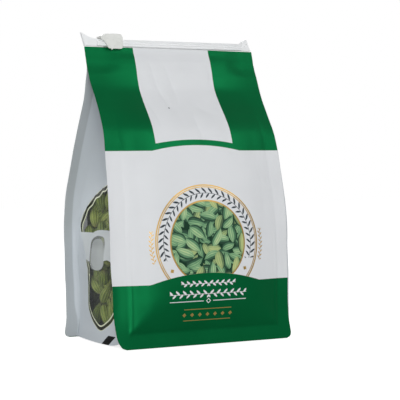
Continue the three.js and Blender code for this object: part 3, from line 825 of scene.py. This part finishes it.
for side, word, corner in ((-1, "left", ROUND_CORNER), (1, "right", SMALL_CORNER)):
    shape = bmesh.new()
    seal = shape.verts.layers.float.new("seal")
    gusset_grid(shape, side, RINGS_OUT, rim_point, lambda outer: outer)
    for t, edge_corner in ((0, corner), (1, SMALL_CORNER)):
        for point in grid(shape, 8, SIDE_STEPS):
            share = (point.co.x + 1) / 2
            z = GUSSET_FOOT + (GUSSET_TOP - GUSSET_FOOT) * (point.co.y + 1) / 2
            root = web_point(side, t, z)
            reach = fin_width(root.z, edge_corner) + root_x(root.z) - abs(root.x)
            if t == 0 and side < 0:
                reach += 0.35 + 1.1 * (1 - ramp(root.z, 2, 16))
            x = root.x + side * reach * share
            behind = 0.3 - 0.18 * ramp(root.z, PINCH_FROM, PINCH_TO)
            y = front_y(x, root.z) + behind if t == 0 else back_y(x, root.z) - behind
            point.co = Vector((x, y if share > 0 else root.y, root.z)) * MM
            point[seal] = 1 if share > 0 else 0
    bmesh.ops.remove_doubles(shape, verts=shape.verts, dist=MERGE)
    bmesh.ops.recalc_face_normals(shape, faces=shape.faces[:])
    face_outwards(shape, side)
    gusset = film_piece(f"{word}_gusset_sheet", shape)
    gusset.data.materials.append(gusset_film)
    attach(gusset, "pouch")
    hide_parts(f"{word}_gusset")

    shape = bmesh.new()
    layer = shape.loops.layers.uv.new("inset")
    gusset_grid(shape, side, RINGS_IN, rim_point, lambda outer: WINDOW_CENTRE.copy())
    around = 2 * (SIDE_STEPS + END_STEPS)
    reach_of = []
    for k in range(around + 1):
        rim, next_rim = rim_point(boundary(k % around)), rim_point(boundary((k + 1) % around))
        ray = (rim - WINDOW_CENTRE).normalized()
        way = (next_rim - rim).normalized()
        reach_of.append((rim - WINDOW_CENTRE).length * abs(ray.x * way.y - ray.y * way.x))
    for number, point in enumerate(shape.verts):
        k, ring = number % (around + 1), number // (around + 1)
        for corner_loop in point.link_loops:
            corner_loop[layer].uv = (reach_of[k] * ring / RINGS_IN / 50, k / around)
    bmesh.ops.remove_doubles(shape, verts=shape.verts, dist=MERGE)
    face_outwards(shape, side)
    pane = film_piece(f"{word}_window_pane", shape, PANE_THICKNESS)
    pane.data.materials.append(pane_film)
    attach(pane, "pouch")
    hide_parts(f"{word}_window")

# The pods behind the windows: dried green cardamom, each a three-lobed papery spindle with fine ribs, a
# stalk scar at its fat end and a short beak. Two layers of them lie against each window, at any angle.
POD_COLUMNS, POD_RINGS = 21, 14
POD_FLOOR, POD_MARGIN = 7, 3.8
POD_CEILING, POD_CORE, WINDOW_OVERLAP = 107, 6.5, 4
POD_LENGTH, POD_WIDTH = (15.5, 19), (6.6, 7.6)
POD_PLACES = ((4.9, 5.3, 5200), (8.6, 4.4, 3600))
POD_PROFILE = ((0, 0.1), (0.05, 0.34), (0.14, 0.66), (0.28, 0.93), (0.42, 1.0), (0.58, 0.92), (0.72, 0.7),
               (0.85, 0.4), (0.94, 0.17), (1, 0.06))


def add_pod(shape, layers, centre, axis, length, width, roll, tint):
    """One pod, rolled up from a flat grid."""
    pod_uv, tints = layers
    points = grid(shape, POD_COLUMNS, POD_RINGS)
    lay_out(points, pod_uv)
    turn = axis.to_track_quat("Z", "Y").to_matrix() @ Matrix.Rotation(roll, 3, "Z")
    for point in points:
        angle, t = (point.co.x + 1) * math.pi, (point.co.y + 1) / 2
        lobes = 1 + 0.1 * math.cos(3 * angle) + 0.02 * math.cos(9 * angle)
        radius = width / 2 * along(POD_PROFILE, t) * lobes
        bend = 0.6 * math.sin(math.pi * t)
        local = Vector((math.cos(angle) * radius + bend, math.sin(angle) * radius, (t - 0.5) * length))
        point.co = (centre + turn @ local) * MM
        point[tints] = tint
    bmesh.ops.remove_doubles(shape, verts=points, dist=1e-6)


pod_skin, tree, shader = material("pod_skin", Roughness=0.62, IOR=1.4)
where = laid(tree, "around_along")
ribs = absolute(calc("SINE", times(where["X"], 38.0)))
mottle = noise_at(own_position(tree), Scale=240, Detail=4, Roughness=0.6)
tone = plus(times(attribute(tree, "tint"), 0.55), times(mottle, 0.45), scaled(ribs, 0.34, -0.12))
tips = power(absolute(scaled(where["Y"], 2.0, -1.0)), 6.0)
skin = coloured(tone, (0.12, (60, 74, 24)), (0.5, (106, 125, 48)), (0.98, (170, 182, 92)))
feed(shader, Base_Color=blend_of(times(tips, 0.7), skin, shade(120, 104, 66)))
relieve(shader, scaled(ribs, 0.6, times(mottle, 0.4)), 0.9, 0.0005)

rng = random.Random(31)
for side, word in ((-1, "left"), (1, "right")):
    shape = bmesh.new()
    layers = (shape.loops.layers.uv.new("around_along"), shape.verts.layers.float.new("tint"))
    for depth, apart, tries in POD_PLACES:
        def throw(rng):
            turn, length = math.pi / 2 + rng.uniform(-1, 1), rng.uniform(*POD_LENGTH)
            reach_up = math.sin(turn) * length / 2
            z = rng.uniform(POD_FLOOR + reach_up, POD_CEILING)
            deep = (back_fin(z + reach_up) - along(FRONT_EDGE, z + reach_up)) / 2
            across = SPREAD * (1 - (POD_MARGIN + abs(math.cos(turn)) * length / 2) / deep)
            return Vector((rng.uniform(-across, across), z)), turn, length
        for centre, turn, length, _ in packed_segments(rng, tries, throw, apart, POD_CORE):
            reach = along(WINDOW_REACH, math.atan2(centre.x, centre.y - WINDOW_CENTRE.y))
            if (centre - WINDOW_CENTRE).length > reach + WINDOW_OVERLAP:
                continue
            t = (centre.x + SPREAD) / (2 * SPREAD)
            here = web_point(side, t, centre.y)
            over = (web_point(side, t + 0.02, centre.y) - here).normalized()
            up = (web_point(side, t, centre.y + 1) - here).normalized()
            inward = up.cross(over)
            if inward.x * side > 0:
                inward.negate()
            axis = over * math.cos(turn) + up * math.sin(turn) + inward * rng.uniform(-0.2, 0.2)
            if rng.random() < 0.5:
                axis.negate()
            here += inward * (depth + rng.uniform(-0.2, 0.5))
            add_pod(shape, layers, here, axis.normalized(), length, rng.uniform(*POD_WIDTH), rng.random() * 6,
                    rng.random())
    shape.normal_update()
    pods = placed(f"{word}_pods", shape)
    pods.data.materials.append(pod_skin)
    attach(pods, "pouch")

# The rest of the filling: a packed heap of the same pods, seen only as dark olive between those at the
# windows, so it is one lumpy body, up to the fill line. Its dark olive is painted shade over pod colour,
# standing for the shade among packed pods.
HEAP_FOOT, HEAP_ROUND, HEAP_SHOULDER, HEAP_TOP = 1.2, 14, 92, 114
HEAP_FOOT_SHARE = 0.52
HEAP_BEHIND, HEAP_INWARD = 3.2, 10.0
HEAP_AROUND, HEAP_UP = 96, 60


def heap_point(share, z):
    """A point round the heap at a height, kept in from the sheets."""
    if z < HEAP_ROUND:
        shrink = HEAP_FOOT_SHARE + (1 - HEAP_FOOT_SHARE) * math.sqrt(1 - (1 - z / HEAP_ROUND) ** 2)
    else:
        shrink = math.sqrt(max(1 - max((z - HEAP_SHOULDER) / (HEAP_TOP - HEAP_SHOULDER), 0) ** 2, 0))
    part, t = int(share * 4) % 4, share * 4 % 1
    edge_x = root_x(z) - 3
    if part == 0:
        x = edge_x * (2 * t - 1)
        at = Vector((x, along(FRONT_EDGE, z) - bulge(x, z) + HEAP_BEHIND, z))
    elif part == 2:
        x = edge_x * (1 - 2 * t)
        at = Vector((x, along(BACK_EDGE, z) + bulge(x, z) - HEAP_BEHIND, z))
    elif part == 1:
        at = web_point(1, 0.08 + 0.84 * t, z, HEAP_INWARD)
    else:
        at = web_point(-1, 0.92 - 0.84 * t, z, HEAP_INWARD)
    middle = (along(FRONT_EDGE, z) + along(BACK_EDGE, z)) / 2
    lump = 1 + 0.02 * noise.noise(at / 7)
    return Vector((at.x * shrink * lump, middle + (at.y - middle) * shrink * lump, z))


shape = bmesh.new()
for point in grid(shape, HEAP_AROUND, HEAP_UP):
    height = HEAP_FOOT + (HEAP_TOP - HEAP_FOOT) * (point.co.y + 1) / 2
    point.co = heap_point((point.co.x + 1) / 2 % 1, height) * MM
bmesh.ops.remove_doubles(shape, verts=shape.verts, dist=1e-6)
bmesh.ops.holes_fill(shape, edges=[e for e in shape.edges if e.is_boundary])
bmesh.ops.recalc_face_normals(shape, faces=shape.faces[:])
for face in shape.faces:
    face.smooth = True
heap = placed("pod_heap", shape)
heap_olive_and_shade, tree, shader = material("packed_pods", Roughness=0.8)
# Painted shade: pod olive at the middle of each lump, darkening to dark olive in the gaps where the lumps
# meet.
gaps = node(tree, "ShaderNodeTexVoronoi", Vector=own_position(tree), Scale=150).outputs["Distance"]
feed(shader, Base_Color=blend_of(remapped(gaps, From_Max=0.7), shade(112, 124, 58), shade(56, 66, 28)))
relieve(shader, gaps, 0.8, 0.002, invert=True)
heap.data.materials.append(heap_olive_and_shade)
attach(heap, "pouch")
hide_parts("pod_fill")

# The bottom sheet: plain film whose rim turns up and is welded to the skirts all round, so that the pouch
# stands on its flat middle.
RIM_TOP = 7.3
RIM_FROM, RIM_SPAN = 0.76, 0.24
BOTTOM_X, BOTTOM_Y = 50.4, 38.6
shape = bmesh.new()
seal = shape.verts.layers.float.new("seal")
for point in grid(shape, 80, 64):
    u, v = point.co.x, point.co.y
    out = min(max(((u ** 8 + v ** 8) ** 0.125 - RIM_FROM) / RIM_SPAN, 0), 1)
    rim_x = abs(web_point(-1 if u < 0 else 1, (v + 1) / 2, RIM_TOP).x) - 0.35
    rim_y = abs(along(FRONT_EDGE if v < 0 else BACK_EDGE, RIM_TOP)) - 0.15
    wide = BOTTOM_X + (rim_x - BOTTOM_X) * out ** 2
    deep = BOTTOM_Y + (rim_y - BOTTOM_Y) * out ** 2
    crease = 0.35 * abs(noise.noise(Vector((u * 2.3, v * 2.1, 4)))) * (1 - out)
    crease *= min(1, (1 - max(abs(u), abs(v))) * 4)
    point.co = Vector((u * wide, v * deep, 0.02 + RIM_TOP * out ** 2 + crease)) * MM
    point[seal] = ramp(out, 0.5, 0.8)
bmesh.ops.reverse_faces(shape, faces=shape.faces[:])
bottom = film_piece("bottom_sheet", shape)
bottom.data.materials.append(plain_film("bottom_film", False))
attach(bottom, "pouch")
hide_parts("bottom_film")

# The zip: two extruded strips of milky polyethylene with ribbed backs, pressed together. Their flanges are
# sealed inside the film, and their ends are melted flat into ears with two weld dots.
ZIP_Y = 2.65
TRACK_LOW, TRACK_HIGH, TRACK_HALF, TRACK_END = 184.0, 188.4, 1.9, 51.0
FLANGE_END = 34
LEFT_EAR = ((-59.2, 184.0), (-61.55, 192.1), (-60.6, 191.6), (-58.5, 190.5), (-54.9, 189.0), (-50.4, 188.4),
            (-50.4, 184.0))
RIGHT_EAR = ((50.4, 184.0), (50.4, 188.4), (52.0, 190.2), (55.0, 191.4), (55.9, 188.6), (58.0, 184.0))
WELD_DOTS = ((52.7, 187.4), (54.9, 188.8))
DOT_FOOT, DOT_TOP, DOT_HEIGHT = 0.75, 0.5, 0.3
EAR_THICKNESS = 0.9


def extruded(shape, outline, direction):
    """A prism from an outline, drawn out along a direction."""
    face = shape.faces.new([shape.verts.new(Vector(p) * MM) for p in outline])
    made = bmesh.ops.extrude_face_region(shape, geom=[face])
    points = [item for item in made["geom"] if isinstance(item, bmesh.types.BMVert)]
    bmesh.ops.translate(shape, verts=points, vec=Vector(direction) * MM)


def finished_solid(name, shape, bevel, finish, body, node_name):
    """Rounds a moulded solid's edges and puts it in the scene in place of its CAD node."""
    bmesh.ops.recalc_face_normals(shape, faces=shape.faces[:])
    sharp = [e for e in shape.edges if len(e.link_faces) == 2 and e.calc_face_angle(0) > 0.35]
    rounded = bmesh.ops.bevel(shape, geom=sharp, offset=bevel * MM, offset_type="OFFSET", affect="EDGES",
                              segments=3, profile=0.5, material=-1, clamp_overlap=True)
    for face in rounded["faces"]:
        face.smooth = True
    piece = placed(name, shape)
    piece.data.materials.append(finish)
    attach(piece, body)
    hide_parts(node_name)


def moulded(name, roughness, scale, colours, ends, relief):
    """Milky moulded plastic, a little cloudy. Its low relief comes from the cloud, or is drawn along X."""
    made, tree, shader = material(name, Roughness=roughness, IOR=1.5)
    position = own_position(tree)
    cloud = noise_at(position, Scale=scale, Detail=3)
    feed(shader, Base_Color=blend_of(cloud, *colours),
         Roughness=remapped(cloud, To_Min=ends[0], To_Max=ends[1]))
    strength, distance, drawn = relief
    if drawn:
        drawn_out = node(tree, "ShaderNodeMapping", Vector=position, Scale=drawn).outputs[0]
        cloud = noise_at(drawn_out, Scale=1, Detail=2)
    relieve(shader, cloud, strength, distance)
    return made


milky = moulded("milky_plastic", 0.3, 160, (shade(238, 240, 241), shade(247, 248, 248)), (0.22, 0.4),
                (0.05, 0.0001, (40, 900, 900)))
for way, word in ((-1, "front"), (1, "back")):
    shape = bmesh.new()
    section = [(0.15, TRACK_LOW), (TRACK_HALF - 0.45, TRACK_LOW)]
    for rib in range(3):
        low = TRACK_LOW + rib * 1.4 + 0.15
        section += [(TRACK_HALF, low + 0.3), (TRACK_HALF, low + 0.95), (TRACK_HALF - 0.4, low + 1.25)]
    section += [(TRACK_HALF - 0.5, TRACK_HIGH), (0.15, TRACK_HIGH)]
    extruded(shape, [(-TRACK_END, ZIP_Y + way * off, z) for off, z in section], (2 * TRACK_END, 0, 0))
    flange = ((0.2, 172), (0.6, 172), (0.6, 184.2), (0.2, 184.2))
    extruded(shape, [(-FLANGE_END, ZIP_Y + way * off, z) for off, z in flange], (2 * FLANGE_END, 0, 0))
    for ear in (LEFT_EAR, RIGHT_EAR):
        extruded(shape, [(x, ZIP_Y + way * 0.16, z) for x, z in ear], (0, way * EAR_THICKNESS, 0))
    for x, z in WELD_DOTS:
        made = bmesh.ops.create_cone(shape, cap_ends=True, segments=16, radius1=DOT_FOOT * MM,
                                     radius2=DOT_TOP * MM, depth=DOT_HEIGHT * MM)
        bmesh.ops.rotate(shape, verts=made["verts"], matrix=Matrix.Rotation(way * -math.pi / 2, 3, "X"))
        bmesh.ops.translate(shape, verts=made["verts"], vec=Vector((x, ZIP_Y + way * 1.15, z)) * MM)
    finished_solid(f"zip_{word}_strip", shape, 0.12, milky, "pouch", f"zip_{word}")

# The slider: a moulded polypropylene clip that straddles the zip. Its nose slopes down to the closed end,
# and two small lugs under its cheeks keep it on the strips.
SLIDER_STATIONS = ((-49.4, 188.5, 190.0), (-48.6, 188.1, 190.5), (-46.6, 186.8, 191.3),
                   (-45.8, 185.6, 191.55), (-44.6, 183.4, 191.7), (-43.8, 182.5, 191.7),
                   (-36.0, 182.4, 191.7), (-35.1, 182.7, 190.4), (-34.65, 183.4, 189.4))
SLIDER_HALF, CHANNEL_HALF, CHANNEL_ROOF = 3.6, 2.35, 188.85
LUG = ((-42.4, 3.4, 182.7), (-41.3, 3.4, 182.7), (-41.4, 3.3, 181.85), (-42.3, 3.3, 181.85))
LUG_THICKNESS = 0.9
shape = bmesh.new()
first = SLIDER_STATIONS[0][0]
section = ((-SLIDER_HALF, 0), (-SLIDER_HALF, 1), (SLIDER_HALF, 1), (SLIDER_HALF, 0), (CHANNEL_HALF, 0),
           (CHANNEL_HALF, 2), (-CHANNEL_HALF, 2), (-CHANNEL_HALF, 0))
ring = [shape.verts.new(Vector((first, ZIP_Y + y, level_of)) * MM) for y, level_of in section]
face = shape.faces.new(ring)
columns = [ring]
for _ in SLIDER_STATIONS[1:]:
    made = bmesh.ops.extrude_face_region(shape, geom=[face])
    face = next(item for item in made["geom"] if isinstance(item, bmesh.types.BMFace))
    columns.append([min(face.verts, key=lambda v: (v.co - point.co).length) for point in columns[-1]])
    bmesh.ops.translate(shape, verts=face.verts[:], vec=(MM, 0, 0))
for ring, (x, low, high) in zip(columns, SLIDER_STATIONS):
    for point, (y, level_of) in zip(ring, section):
        height = (low, high, max(CHANNEL_ROOF, low))[level_of]
        point.co = Vector((x, ZIP_Y + y, height)) * MM
bmesh.ops.remove_doubles(shape, verts=shape.verts, dist=1e-6)
for way in (-1, 1):
    extruded(shape, [(x, ZIP_Y + way * y, z) for x, y, z in LUG], (0, -way * LUG_THICKNESS, 0))
slider_plastic = moulded("slider_plastic", 0.28, 200, (shade(224, 225, 220), shade(236, 237, 233)),
                         (0.2, 0.36), (0.2, 0.00008, None))
finished_solid("slider", shape, 0.3, slider_plastic, "slider", "zip_slider")
